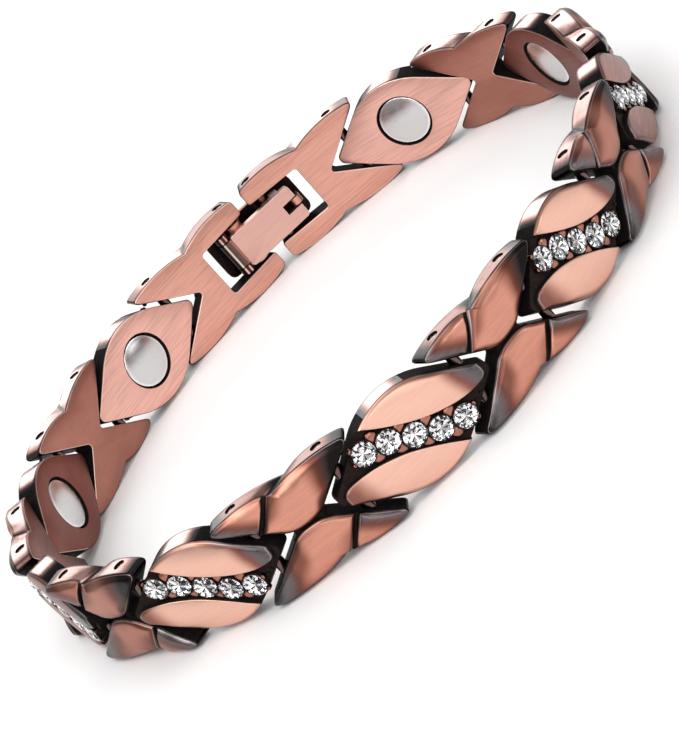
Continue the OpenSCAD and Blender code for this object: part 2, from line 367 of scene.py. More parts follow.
def patinaGroup():
    # the painted patina and painted shade, broken up by brush lines and a soft cloud, then the edges: below
    # zero worn bright with painted highlights, above it dark lines of patina and painted shade
    k = patinaLook
    group, given, put = newGroup("darkPatina", {
        "Patina": 0.0, "Edge": 0.0, "Lines": 0.5, "Cloud": 0.5, "Copper": (0.8, 0.4, 0.3, 1),
        "Deep Copper": (0.3, 0.1, 0.07, 1), "Grey": (0.1, 0.1, 0.1, 1), "Worn": wornAndGlintCopper, "Edge Dark": 0.8,
    }, {"Color": (0.0, 0.0, 0.0, 1)})
    cloud = math(group, "MULTIPLY", math(group, "SUBTRACT", given["Cloud"], 0.5), k["cloud"])
    ragged = math(group, "ADD", math(group, "SUBTRACT", given["Lines"], 0.5), cloud)
    change = math(group, "MULTIPLY", ragged, math(group, "MULTIPLY", given["Patina"], k["ragged"]))
    share = math(group, "ADD", given["Patina"], change, clamp=True)
    colour = mixColour(group, mapRange(group, share, *k["red"]), given["Copper"], given["Deep Copper"])
    colour = mixColour(group, mapRange(group, share, *k["grey"]), colour, given["Grey"])
    colour = mixColour(group, mapRange(group, share, *k["black"]), colour, k["blackPatinaAndShade"])
    colour = mixColour(group, mapRange(group, given["Edge"], *k["wornAndGlint"]), colour, given["Worn"])
    edge = math(group, "MULTIPLY", mapRange(group, given["Edge"], *k["edge"]), given["Edge Dark"])
    feed(group, put["Color"], mixColour(group, edge, colour, k["blackPatinaAndShade"]))
    return group


brushLines = brushGroup()
darkPatina = patinaGroup()


def newMaterial(name, **plain):
    m = bpy.data.materials.new(name)
    m.use_nodes = True
    fill(m.node_tree, m.node_tree.nodes["Principled BSDF"], **plain)
    m.diffuse_color = plain.get("Base_Color", (0.8, 0.45, 0.36, 1))
    return m


def copperMaterial(name, look):
    # brushed copper that darkens through red-brown and grey to black where patina and painted shade are laid
    # on
    look = {"metallic": 1.0, "specular": 0.5, "edgeDark": 0.9, "wornAndGlint": wornAndGlintCopper, **look}
    m = newMaterial(name, Metallic=look["metallic"], Specular_IOR_Level=look["specular"])
    tree = m.node_tree
    shader = tree.nodes["Principled BSDF"]
    stretch, density = look["lines"]
    inLink = attribute(tree, "inLink", "Vector")
    brushed = useGroup(tree, brushLines, Vector=inLink, Stretch=stretch, Density=density)
    lines = brushed["Lines"]
    patina, edge = (attribute(tree, key, "Fac") for key in ("patina", "edge"))
    coat = useGroup(tree, darkPatina, Patina=patina, Edge=edge, Lines=lines, Cloud=brushed["Cloud"],
                    Copper=look["copper"], Deep_Copper=look["deep"], Grey=look["grey"],
                    Edge_Dark=look["edgeDark"], Worn=look["wornAndGlint"])
    tint = tree.nodes.new("ShaderNodeVectorMath")
    tint.operation = "SCALE"
    feed(tree, tint.inputs[0], coat["Color"])
    fill(tree, tint, Scale=mapRange(tree, lines, 0.36, 0.56, 1 - look["streak"], 1.0, smooth=False))
    rough = mapRange(tree, lines, 0.3, 0.7, look["rough"] - 0.06, look["rough"] + 0.06, smooth=False)
    bump = tree.nodes.new("ShaderNodeBump")
    fill(tree, bump, Strength=look["bump"], Distance=0.02 * mm, Height=lines)
    fill(tree, shader, Base_Color=tint.outputs[0], Roughness=rough, Normal=bump.outputs[0])
    return m


leafCopper = copperMaterial("leafCopper", {
    "copper": (0.87, 0.515, 0.405, 1), "deep": (0.27, 0.088, 0.062, 1), "grey": (0.15, 0.135, 0.14, 1),
    "lines": (0.35, 12.0), "streak": 0.07, "rough": 0.36, "bump": 0.25})
# crossCopper ends in a near-black grey, painted shade; crossGrey is the same copper with a lighter grey, a
# painted sheen
crossLook = {
    "copper": (0.68, 0.305, 0.22, 1), "deep": (0.17, 0.052, 0.034, 1), "grey": (0.05, 0.035, 0.032, 1),
    "lines": (0.6, 18.0), "streak": 0.16, "rough": 0.34, "bump": 0.35}
crossCopper = copperMaterial("crossCopper", crossLook)
crossGrey = copperMaterial("crossGrey", {**crossLook, "grey": (0.17, 0.155, 0.16, 1)})
innerLook = {
    "copper": (0.77, 0.395, 0.31, 1), "deep": (0.23, 0.066, 0.045, 1), "grey": (0.09, 0.04, 0.033, 1),
    "lines": (0.5, 16.0), "streak": 0.24, "rough": 0.38, "bump": 0.4}
innerCopper = copperMaterial("innerCopper", innerLook)
leafInner = copperMaterial("leafInner", {**innerLook, "copper": (0.88, 0.50, 0.42, 1)})
lidCopper = copperMaterial("lidCopper", {
    "copper": (0.74, 0.44, 0.38, 1), "deep": (0.24, 0.08, 0.05, 1), "grey": (0.10, 0.095, 0.095, 1),
    "edgeDark": 0.2, "lines": (0.6, 12.0), "streak": 0.1, "rough": 0.38, "bump": 0.35})
rimCopper = copperMaterial("rimCopper", {
    "copper": (0.92, 0.70, 0.62, 1), "deep": (0.3, 0.14, 0.1, 1), "grey": (0.10, 0.095, 0.095, 1),
    "edgeDark": 0.0, "lines": (0.2, 8.0), "streak": 0.05, "rough": 0.25, "bump": 0.1})
# the walls' copper: pale, its grey stage near black for painted shade at the walls' ends and in notches
wallCopper = copperMaterial("wallCopper", {
    "copper": (0.80, 0.52, 0.475, 1), "deep": (0.28, 0.14, 0.115, 1), "grey": (0.018, 0.015, 0.016, 1),
    "lines": (0.3, 5.0), "streak": 0.06, "rough": 0.22, "bump": 0.1})
# painted shade: near black with next to no sheen, for holes, grooves, the channel floor, the crystals' cups
# and notch walls
recessShadeBlack = copperMaterial("recessShadeBlack", {
    "copper": (0.025, 0.017, 0.015, 1), "deep": (0.015, 0.012, 0.01, 1), "grey": patinaLook["blackPatinaAndShade"],
    "metallic": 0.0, "specular": 0.004,
    "edgeDark": 0.5, "lines": (3.0, 4.0), "streak": 0.4, "rough": 0.34, "bump": 0.6})
prongCopper = copperMaterial("prongCopper", {
    "copper": (0.43, 0.18, 0.135, 1), "deep": (0.2, 0.08, 0.05, 1), "grey": (0.05, 0.04, 0.04, 1),
    "lines": (3.0, 3.0), "streak": 0.2, "rough": 0.28, "bump": 0.1})
magnetSilver = copperMaterial("magnetSilver", {
    "copper": (0.64, 0.635, 0.64, 1), "deep": (0.4, 0.4, 0.4, 1), "grey": (0.2, 0.2, 0.2, 1),
    "wornAndGlint": (0.95, 0.95, 0.96, 1),
    "edgeDark": 0.0, "lines": (0.5, 7.0), "streak": 0.04, "rough": 0.24, "bump": 0.05})
pinCopper = copperMaterial("pinCopper", {
    "copper": (0.15, 0.10, 0.088, 1), "deep": (0.2, 0.1, 0.08, 1), "grey": (0.05, 0.04, 0.04, 1),
    "edgeDark": 0.6, "lines": (2.0, 2.0), "streak": 0.1, "rough": 0.25, "bump": 0.1})
crystalGlass = newMaterial("crystalGlass", Base_Color=(1, 1, 1, 1), Roughness=0.0, IOR=1.5,
                           Transmission_Weight=1.0)
crystalBack = newMaterial("crystalBack", Metallic=1.0, Roughness=0.05, Base_Color=(0.97, 0.97, 0.98, 1))
# painted dark reflections: some back facets are a dark mirror
crystalDark = newMaterial("crystalDark", Metallic=1.0, Roughness=0.05, Base_Color=(0.02, 0.02, 0.025, 1))
print("materials:", len(bpy.data.materials))


# Links

# places in a link's list of materials
innerFinish, wallFinish, recessFinish, outerFinish, otherFinish = range(5)
leafMaterials = [leafInner, wallCopper, recessShadeBlack, leafCopper, prongCopper]
crossMaterials = [innerCopper, wallCopper, recessShadeBlack, crossCopper, crossGrey]

linkShape = {
    "faceIn": 0.85, "floor": 0.9,    # inner face and the floor of channel and grooves
    "rim": 0.14,    # rounded edge of the inner face
    "hole": 0.5, "drill": 9,
    "wallSteps": 6,
    "lip": (0.05, 0.02, 1.2),    # how far in and down from the wall, and its greatest height
    "floorIn": 0.14,
    "innerEdge": [0.0, -1.0, 0.8, 1.0],    # a worn line with a painted highlight, then a dark line of patina and painted shade, round the inner face
    # patina and painted shade: a dark line where the wall meets the leaf above and the floor
    "outerEdge": [0.9, 0.6, 0.3],
    "lowerEdge": 1.9, "lowerZ": (-3.1, -3.5),    # painted shade: the inner face's lower edge is dark, not bright
    "wallDark": (0.6, 3),    # the share of the painted wall shade at a wall's inner edge, and its growth
    "waistZ": 2.5, "besideWaist": 0.7,    # painted shade: a dark line at each waist's nick, and its share beside it
    # painted shade: wall faces as dark as this all round take the recess black
    "blackFrom": 0.95,
}
magnetShape = {
    "radius": 2.3, "pocket": 2.4, "floor": 0.3, "round": 0.16, "dome": 8.0, "edge": 0.66,
    # patina and painted shade: a dark ring round the magnet's pocket
    "pocketRim": [(0, -0.06), (0.05, -0.015), (0.1, 0)], "pocketEdge": [1.0, 1.0, 0.5, 0.0],
}


def linkPlate(outlineAt, waistIn, waistOut, edgeHeight, pitch, wallPatina, face="flat"):
    # a plate with a rounded inner edge; its wall ends at the height of the raised leaves above it.
    # outlineAt(w) is the outline whose upper waist lies at x = w
    k = linkShape
    inner, outer = outlineAt(waistIn), outlineAt(waistOut)
    size = len(inner)
    rings, edge, dark = [], list(k["innerEdge"]), []
    for a in np.radians([90, 60, 30, 0]):
        rings.append(lift(inset(inner, k["rim"] * (1 - np.cos(a))), k["faceIn"] - k["rim"] * (1 - np.sin(a))))
        dark.append((1 - np.sin(a)) * wallPatina(inner))
    half = np.abs(inner[:, 1])
    waist = (half < np.roll(half, 1)) & (half <= np.roll(half, -1)) & (half > k["waistZ"])
    line = np.maximum.reduce([waist] + [k["besideWaist"] * np.roll(waist, way) for way in (1, -1)])
    top = k["faceIn"] - k["rim"]
    for t in np.linspace(0, 1, k["wallSteps"] + 1)[1:]:
        rings.append(lift(outlineAt(waistIn + t * (waistOut - waistIn)), top + t * (-edgeHeight - top)))
        edge.append(0.0)
        share = min(1, k["wallDark"][0] + k["wallDark"][1] * t)
        dark.append(share * np.maximum(wallPatina(rings[-1][:, ::2]), line))
    edge[-1:] = k["outerEdge"]
    lipIn, lipDown, lipTop = k["lip"]
    rings.append(lift(inset(outer, lipIn), np.maximum(-edgeHeight + lipDown, -lipTop)))
    rings.append(lift(inset(outer, k["floorIn"]), -k["floor"]))
    dark += [0 * dark[0]] * 2
    pocketRings = 0
    if face == "magnet":
        m = magnetShape
        angle = np.arctan2(rings[0][:, 2], rings[0][:, 0])
        circle = np.stack([np.cos(angle), np.sin(angle)], 1)
        profile = [(m["pocket"], -m["floor"])]
        profile += [(m["pocket"] + out, k["faceIn"] + y) for out, y in m["pocketRim"]]
        pocketRings = len(profile)
        rings = [lift(circle * r, y) for r, y in profile] + rings
        edge = m["pocketEdge"] + edge
        dark = [0 * dark[0]] * pocketRings + dark
    s = shell(rings, edge=np.array(edge, float), patina=np.array(dark))
    second = (pocketRings + 1) * size + np.arange(size)
    s["edge"][second] += k["lowerEdge"] * softStep(*k["lowerZ"], s["points"][second, 2])
    s["finish"] = plateFinish(s, len(rings), size, pocketRings)
    return drilledPlate(s, (-pitch / 2, pitch / 2))


def plateFinish(s, count, size, pocketRings):
    # each face's material: the inner face and its rounded rim, then the walls, then the floor
    ring = np.arange(count - 1)
    kind = np.select([ring < pocketRings + 3, ring < count - 3], [innerFinish, wallFinish], recessFinish)
    if pocketRings:
        kind[:pocketRings - 2] = recessFinish
    quads = np.repeat(kind, size)
    # painted shade: wall faces dark at all their points take the recess black
    black = s["patina"][np.array(s["faces"][:len(quads)])].min(1) > linkShape["blackFrom"]
    quads[black & (quads == wallFinish)] = recessFinish
    return np.concatenate([quads, [recessFinish if pocketRings else innerFinish, recessFinish]])


def faceMiddles(points, faces):
    return np.array([points[f].mean(0) for f in faces])


def nearest(points, others):
    # which of the others is nearest to each point
    return np.argmin(((points[:, None, :] - others[None]) ** 2).sum(-1), 1)


def drilledPlate(s, holes):
    # cut by upright round holes at the given x, with a Boolean modifier on a passing object
    k = linkShape
    blank = newObject("blank", newMesh("blank", s["points"], s["faces"]))
    drills = []
    for x in holes:
        tool = shell([uprightRing(x, k["hole"], z) for z in (-k["drill"], k["drill"])])
        drill = newObject("drill", newMesh("drill", tool["points"], tool["faces"]))
        cut = blank.modifiers.new("hole", "BOOLEAN")
        cut.operation = "DIFFERENCE"
        cut.object = drill
        cut.solver = "EXACT"
        drills.append(drill)
    done = bpy.data.meshes.new_from_object(blank.evaluated_get(bpy.context.evaluated_depsgraph_get()))
    points = pointsOf(done)
    faces = [list(p.vertices) for p in done.polygons]
    for o in drills + [blank]:
        bpy.data.objects.remove(o)
    # points and faces look as the nearest old ones, but those on a drill take the recess black, painted shade
    near = nearest(points, s["points"])
    finish = s["finish"][nearest(faceMiddles(points, faces), faceMiddles(s["points"], s["faces"]))]
    far = np.array([np.hypot(points[:, 0] - x, points[:, 1]) for x in holes])
    onDrill = np.array([far[:, f].max(1).min() for f in faces]) < k["hole"] + 1e-3
    finish[onDrill] = recessFinish
    edge, patina = s["edge"][near], s["patina"][near]
    return {"points": points, "faces": faces, "finish": finish, "edge": edge, "patina": patina}


def domeHeight(centre, angle, crest, longDrop, longHalf, wideDrop, wideHalf):
    # crest less a share of the squared distance along and across the dome's axis
    a = np.radians(angle)

    def at(p):
        x, z = p[:, 0] - centre[0], p[:, 1] - centre[1]
        along, across = x * np.cos(a) + z * np.sin(a), -x * np.sin(a) + z * np.cos(a)
        return crest - longDrop * (along / longHalf) ** 2 - wideDrop * (across / wideHalf) ** 2
    return at


raisedShape = {
    "smooth": 7,    # points over which the roll is evened out
    "skirtWall": -0.18, "skirtGroove": 0.07, "skirtDepth": -0.8,
    # rings at these distances from the edge, then at these shares of the rest
    "steps": [0.0, 0.03, 0.07, 0.13, 0.21, 0.31, 0.43, 0.58, 0.75, 0.95],
    "shares": (0.2, 0.4, 0.6, 0.8, 0.93),
    # patina and painted shade darken the leaf's edge, then a worn line with a painted highlight follows
    "edgeAt": [0, 0.03, 0.07, 0.13, 0.21], "edge": [1.0, 0.7, 0.1, -0.6, 0.0],
    "rimFade": (0.1, 1.4),    # in roll widths
}


def raisedLeaf(path, onWall, centre, height, rollDepth, rollWidth, rimPatina, patinaAt):
    # a raised leaf on the plate: rings of its outline drawn towards its middle, at height(x, z) less
    # rollDepth (1 - d / rollWidth)^2 at the distance d from the edge; its skirt ends in the plate
    k = raisedShape
    reach, even = k["smooth"] // 2, np.ones(k["smooth"]) / k["smooth"]
    rollDepth, rollWidth, rimPatina = (np.convolve(np.concatenate([v[-reach:], v, v[:reach]]), even, "valid")
                                       for v in (rollDepth, rollWidth, rimPatina))
    away = path - np.array(centre)
    far = np.linalg.norm(away, axis=1)[:, None]
    skirt = path + np.where(onWall[:, None], k["skirtWall"], k["skirtGroove"]) * away / far
    rings, edge, patina = [lift(skirt, k["skirtDepth"])], [1.0], [patinaAt(path)]
    for d in k["steps"]:
        p = path - np.minimum(d / far, 0.8) * away
        drop = rollDepth * np.clip(1 - d / rollWidth, 0, 1) ** 2
        rings.append(lift(p, -(height(p) - drop)))
        edge.append(np.interp(d, k["edgeAt"], k["edge"]))
        patina.append(np.maximum(patinaAt(p), rimPatina * (1 - softStep(*k["rimFade"], d / rollWidth))))
    start = np.minimum(k["steps"][-1] / far, 0.8)
    for t in k["shares"]:
        p = path - (start + (1 - start) * t) * away
        rings.append(lift(p, -height(p)))
        edge.append(0.0)
        patina.append(patinaAt(p))
    s = shell(rings, end="fan", edge=np.array(edge, float), patina=np.array(patina))
    size = len(path)
    s["finish"] = np.repeat([recessFinish, outerFinish, recessFinish, outerFinish],
                            [size, size * (len(rings) - 2), 1, size])
    return s, height(path) - rollDepth


# Leaf link

leafShape = {
    "tip": 34.0, "width": 7.9, "bow": 6.5, "tipRound": 0.6,
    "pitch": 11.6,
    "channelEdge": [(1.23, -2.05), (-0.165, -1.16), (-1.56, -0.43), (-3.3, 0.17), (-4.7, 0.44), (-5.9, 0.50),
                    (-6.5, 0.36), (-6.82, 0.02)],
    "leafFrom": -6.85, "leafTo": 2.95,    # where the lower leaf's blunt and sharp ends meet the outline
    "centre": (-2.2, -1.55), "dome": ((-2.0, -1.5), -22, 1.6, 0.16, 4.6, 0.2, 1.4),
    # painted shade: the upper leaf, a half turn of the lower, is darker
    "upperDark": 1.7,
}
stoneShape = {
    "radius": 0.98, "table": 0.5, "girdle": 1.3, "crown": 0.28, "pavilion": 0.3,
    # which of the back's three rows of 16 facets are dark, painted dark reflections
    "dark": [1, 6, 10, 18, 23, 30, 32, 38, 42, 45],
    "places": [(-3.68, 1.64), (-1.76, 1.03), (0.0, 0.0), (1.76, -1.03), (3.68, -1.64)],
    "turns": [7, 31, 52, 18, 40],
    "cup": [(-0.02, 0), (0.05, -0.02), (0.07, 0.05)],    # from the crystal's edge and girdle
    "prong": (0.82, 0.52, 1.24),    # beside the row, radius and height
    # grains at the row's ends: along and across from the last crystal, radius, height and finish
    "grains": [(0.85, 0.55, 0.2, 1.3, otherFinish), (0.85, -0.5, 0.2, 1.3, otherFinish),
               (1.3, 0.62, 0.17, 1.12, recessFinish), (1.75, 0.95, 0.15, 1.08, recessFinish)],
    "base": -0.85,    # where cups and grains end in the plate
}


def leafOutline(waist=0):
    # it has no waist, so it is the same at any
    k = leafShape
    tip = np.radians(k["tip"])
    half = k["width"] / 2
    sideZ = half - k["bow"] * (1 - np.cos(tip))
    tipMid = k["bow"] * np.sin(tip) + sideZ / np.tan(tip) - k["tipRound"] / np.sin(tip)
    a = k["tip"]
    rightTip = arcPath(tipMid, 0, k["tipRound"], 0, 90 - a, 5)
    top = arcPath(0, half - k["bow"], k["bow"], 90 - a, 90, 32)
    quarter = np.concatenate([rightTip[:-1], linePath(rightTip[-1], top[0], 24)[:-1], top])
    upper = np.concatenate([quarter[:-1], (quarter * [-1, 1])[::-1]])
    return np.concatenate([upper[:-1], -upper[:-1]])


def leafPatina(p):
    # patina and painted shade: dark at the blunt end of the lower leaf, a little at its sharp one
    x = p[:, 0] + 0.25 * p[:, 1]
    return 0.5 * softStep(-3.6, -6.5, x) + 0.15 * softStep(1.6, 3.0, p[:, 0])


def leafWallPatina(p):
    # painted shade: walls grey beside the middle, black where they stand in a notch
    return 0.02 + 1.05 * softStep(0.4, 2.4, np.abs(p[:, 0]))


def leafTemplate():
    k = leafShape
    outline = leafOutline()
    n = len(outline)
    x, z = outline.T
    low = np.where((z < 0) & (x > k["leafFrom"]) & (x < k["leafTo"]))[0]
    edge = smoothPath([outline[low[-1]]] + k["channelEdge"] + [outline[low[0]]], 8)[1:-1]
    path = np.concatenate([outline[low], edge])
    onWall = np.arange(len(path)) < len(low)
    blunt = softStep(-4.9, -6.2, path[:, 0])
    depth = np.where(onWall, 0.2, 0.06) + 0.1 * blunt
    width = np.where(onWall, 0.45, 0.14) + 0.3 * blunt
    dark = onWall * (0.22 + 0.3 * softStep(-1.0, -5.0, path[:, 0]))
    dome = domeHeight(*k["dome"])
    lobe, height = raisedLeaf(path, onWall, k["centre"], dome, depth, width, dark, leafPatina)
    rim = np.full(n, linkShape["floor"])
    rim[low] = rim[(low + n // 2) % n] = height[onWall]
    plate = linkPlate(leafOutline, 0, 0, rim, k["pitch"], leafWallPatina, "magnet")
    upper = halfTurn({**lobe, "patina": lobe["patina"] * k["upperDark"]})
    return together([plate, lobe, upper] + cups() + grains())


def cups():
    k = stoneShape
    profile = [(0.02, -0.75), (0.25, -0.75)] + [(k["radius"] + r, -k["girdle"] + y) for r, y in k["cup"]]
    profile.append((k["radius"] + 0.08, k["base"]))
    return [lathe(profile[::-1], 28, x, z, finish=recessFinish, edge=0.3) for x, z in k["places"]]


def grains():
    # prongs between the crystals and grains at the row's ends
    k = stoneShape
    centres = np.array(k["places"])
    made = []
    out, *form = k["prong"]
    for a, b in zip(centres[:-1], centres[1:]):
        way, side = wayAndSide(a, b)
        for s in (-1, 1):
            made.append(grain(*((a + b) / 2 + s * out * side), *form))
    for s in (-1, 1):
        end = centres[-1] * s
        way, side = wayAndSide(centres[-2] * s, end)
        for along, across, *form in k["grains"]:
            made.append(grain(*(end + along * way + across * side * s), *form))
    return made


def grain(x, z, r, top, finish=otherFinish):
    # round-topped, on the floor, with painted shade darkening its lower half
    a = np.radians([0, 18, 36, 54, 72, 86])
    profile = [(r, stoneShape["base"])]
    profile += [(r * np.cos(t), -(top - r * 0.45) - 0.45 * r * np.sin(t)) for t in a]
    return lathe(profile, 12, x, z, finish=finish, edge=[1.0, 0.95, 0.7, 0.4, 0.2, 0.0, 0.0])


leafMesh = newTemplate("leafLink", leafTemplate(), leafMaterials)
for k in range(1, leafCount + 1):
    place = chordPlace(pins[2 * k - 1], pins[2 * k])
    placeCopy("leafLink_%d" % k, leafMesh, place, "bracelet", "leaf_copper", "leaf_%d" % k)
print("leaf links:", leafCount, "of", len(leafMesh.polygons), "faces")


# Cross link

crossShape = {
    "pitch": 8.0, "apex": 1.0622, "tip": 34.0, "apexRound": 0.3, "reach": 6.45,
    "tipTurn": 0.62, "tipCorner": 0.22,    # the round tip's start and corner, from the reach
    "band": 8.4, "bow": 12.0, "crestX": 3.6, "nick": 0.58,
    "waistIn": 0.55, "waistOut": -0.85,
    "grooveTop": (-0.85, 4.2), "grooveLow": (-3.2, 1.44), "groove": 0.055, "wallFrom": 0.5,
    "bend": [(-1.2, 0.25), (-0.5, 0.11), (0.5, 0.11), (1.2, 0.25)],    # of the line between the wide leaves
    "lowerDark": 0.75, "greyTo": 1.0,    # painted light: the lower wide leaf is lighter, and the wide leaf's patina ends in a painted grey sheen up to this x, in painted black shade beyond
    "wideCentre": (1.3, 2.3), "smallCentre": (-3.75, 3.1),
    "wideDome": ((1.3, 2.3), 20, 1.58, 0.26, 5, 0.3, 2.1),
    "smallDome": ((-4.1, 3.1), -14, 1.42, 0.2, 2.6, 0.12, 1.0),
    # the leaves' roll depth, width and patina at the notch, the groove, the centre line and elsewhere
    "wideEdge": [(0.34, 0.6, 0.52), (0.30, 0.55, 0.62), (0.22, 0.45, 0.58), (0.5, 0.95, 0.0)],
    "smallEdge": [(0.34, 0.6, 0.55), (0.1, 0.25, 0.2), (0.4, 0.7, 0.0)],
}


def bowDrop(x, crest, waist, way):
    # how far the edge lies in from the band's: a bow past the crest, a nick down to the waist
    past = x - crest
    bow, nick = past ** 2 / (2 * crossShape["bow"]), crossShape["nick"] * (past / (crest - waist)) ** 2
    return np.where(past * way > 0, bow, nick)


def notchQuarter(apex, waist, middleX, reach):
    # from a notch's apex up its side, round the arm's tip and along the bowed edge to the waist
    k = crossShape
    a = np.radians(k["tip"])
    r = k["apexRound"]
    half = k["band"] / 2
    crest = middleX + k["crestX"]
    turn, corner = reach - k["tipTurn"], reach + k["tipCorner"]
    sideZ = lambda x: (x - apex) * np.tan(a)
    bottom = arcPath(apex + r / np.sin(a), 0, r, 180, 90 + k["tip"], 5)
    side = linePath(bottom[-1], (turn, sideZ(turn)), 34)
    x = np.linspace(turn, waist, 41)
    edge = np.stack([x, half - bowDrop(x, crest, waist, 1)], 1)
    tip = cornerPath(side[-1], (corner, sideZ(corner)), edge[0], 9)
    return np.concatenate([joinPaths(bottom, side, tip), edge])


def crossOutline(waist):
    k = crossShape
    right = notchQuarter(k["apex"], waist, 0, k["reach"])[:-1]
    left = notchQuarter(k["apex"], -waist, 0, k["reach"]) * [-1, 1]
    upper = np.concatenate([right, left[::-1]])
    return np.concatenate([upper[:-1], -upper[:-1]])


def fromNotch(x, z):
    # distance from the side of the notch at the right
    tip = np.radians(crossShape["tip"])
    return z * np.cos(tip) - (x - crossShape["apex"]) * np.sin(tip)


def rightOfGroove(p):
    # distance to the right of the groove between the wide and the small leaf
    top = np.array(crossShape["grooveTop"])
    return (p - top) @ wayAndSide(top, np.array(crossShape["grooveLow"]))[1]


def widePatina(p):
    # patina and painted shade: dark at the arm's tip and along the notch below it, brown beside the groove
    x, z = p[:, 0], p[:, 1]
    away = fromNotch(x, z)
    tipDark = softStep(0.9, 5.0, x) * (0.82 + 0.35 * softStep(1.8, 0.1, away))
    notchDark = 0.62 * softStep(1.1, 0.2, away) * softStep(0.9, 2.0, x)
    grooveDark = 0.36 * softStep(2.0, 0.5, rightOfGroove(p)) * softStep(1.2, 2.4, z)
    return np.maximum(np.maximum(tipDark, notchDark) + 0.2 * softStep(1.2, 0.2, z), grooveDark)


def notchBrown(p):
    # painted shade, brown along the notch, further in than the grey; laid on the lower wide leaf only
    return 0.42 * softStep(2.6, 0.9, fromNotch(p[:, 0], p[:, 1])) * softStep(0.6, 2.2, p[:, 0])


def smallPatina(p):
    # patina and painted shade: dark at the small leaf's tip and along the notch
    away = fromNotch(-p[:, 0], p[:, 1])
    notchDark = 0.4 * softStep(2.1, 0.9, away) + 0.38 * softStep(1.2, 0.0, away)
    return np.maximum(0.75 * softStep(3.6, 6.4, -p[:, 0]), notchDark)


def crossWallPatina(p, apex=crossShape["apex"]):
    # painted shade: black on the notch's sides, a little dark towards the tips
    x, z = np.abs(p[:, 0]), np.abs(p[:, 1])
    side = z - np.maximum(x - apex, 0) * np.tan(np.radians(crossShape["tip"]))
    notch = (1 - softStep(0.1, 0.4, side)) * softStep(apex - 0.3, apex, x)
    return np.maximum(notch, 0.06 + 0.6 * softStep(4.2, 6.3, x) + 0.4 * softStep(1.2, 0.2, x))


def runs(mask):
    # the unbroken runs of a mask, as index arrays
    at = np.where(mask)[0]
    return np.split(at, np.where(np.diff(at) > 1)[0] + 1)


def onNotch(path):
    # whether on a notch's side
    side = (np.abs(path[:, 0]) - crossShape["apex"]) * np.tan(np.radians(crossShape["tip"]))
    return np.abs(path[:, 1] - side) < 0.12


def edgeRoll(masks, values):
    # each point's values: those of the first mask it is in, else the last ones
    return [np.select(masks, v[:-1], v[-1]) for v in zip(*values)]


def crossTemplate():
    k = crossShape
    outline = crossOutline(k["waistOut"])
    n = len(outline)
    z = outline[:, 1]
    rightOf = rightOfGroove(outline)
    rim = np.full(n, linkShape["floor"])

    wallA, wallB = runs((rightOf > k["groove"]) & (z > k["wallFrom"]))[:2]
    groove = linePath(outline[wallA[-1]], outline[wallB[0]], 18)[1:-1]
    centreLine = smoothPath([outline[wallB[-1]]] + k["bend"] + [outline[wallA[0]]], 7)[1:-1]
    path = np.concatenate([outline[wallA], groove, outline[wallB], centreLine])
    kind = np.repeat(["wall", "groove", "wall", "line"], [len(p) for p in (wallA, groove, wallB, centreLine)])
    onWall = kind == "wall"
    roll = edgeRoll([onWall & onNotch(path), kind == "groove", kind == "line"], k["wideEdge"])
    dome = domeHeight(*k["wideDome"])
    wide, height = raisedLeaf(path, onWall, k["wideCentre"], dome, *roll, widePatina)
    walls = np.concatenate([wallA, wallB])
    rim[walls] = rim[(walls + n // 2) % n] = height[onWall]

    wall = runs((rightOf < -k["groove"]) & (z > k["wallFrom"]))[0]
    groove = linePath(outline[wall[-1]], outline[wall[0]], 14)[1:-1]
    path = np.concatenate([outline[wall], groove])
    onWall = np.arange(len(path)) < len(wall)
    roll = edgeRoll([onWall & onNotch(path), ~onWall], k["smallEdge"])
    dome = domeHeight(*k["smallDome"])
    small, height = raisedLeaf(path, onWall, k["smallCentre"], dome, *roll, smallPatina)
    rim[wall] = rim[(wall + n // 2) % n] = height[onWall]

    plate = linkPlate(crossOutline, k["waistIn"], k["waistOut"], rim, k["pitch"], crossWallPatina)
    # painted sheen: the lower wide leaf, the small ones and the upper wide one's left part take the copper
    # with the lighter grey; the rest ends in painted black shade
    across = faceMiddles(wide["points"], wide["faces"])[:, 0]
    greyWide = np.where(wide["finish"] == outerFinish, otherFinish, wide["finish"])
    lowerPatina = np.maximum(wide["patina"] * k["lowerDark"], notchBrown(wide["points"][:, ::2]))
    lower = halfTurn({**wide, "patina": lowerPatina, "finish": greyWide})
    wide["finish"] = np.where(across < k["greyTo"], greyWide, wide["finish"])
    small["finish"] = np.where(small["finish"] == outerFinish, otherFinish, small["finish"])
    return together([plate, wide, lower, small, halfTurn(small)])


crossMesh = newTemplate("crossLink", crossTemplate(), crossMaterials)
for k in range(1, leafCount):
    place = chordPlace(pins[2 * k], pins[2 * k + 1])
    placeCopy("crossLink_%d" % k, crossMesh, place, "bracelet", "cross_copper", "cross_%d" % k)
print("cross links:", leafCount - 1, "of", len(crossMesh.polygons), "faces")


# Links at the clasp

claspShape = {
    "pitch": 9.2, "apex": 1.6622, "reach": 7.05, "middle": 0.6, "end": -5.7, "round": 0.5,
    "slotHalf": 2.3, "slotEnd": -0.45, "slotRound": 0.3,
    "ridge": 3.0, "barCentre": (0.7, 3.1), "barFrom": 0.3,
    "barEdge": (0.3, 0.6, 0.2),    # roll depth, roll width and patina
}


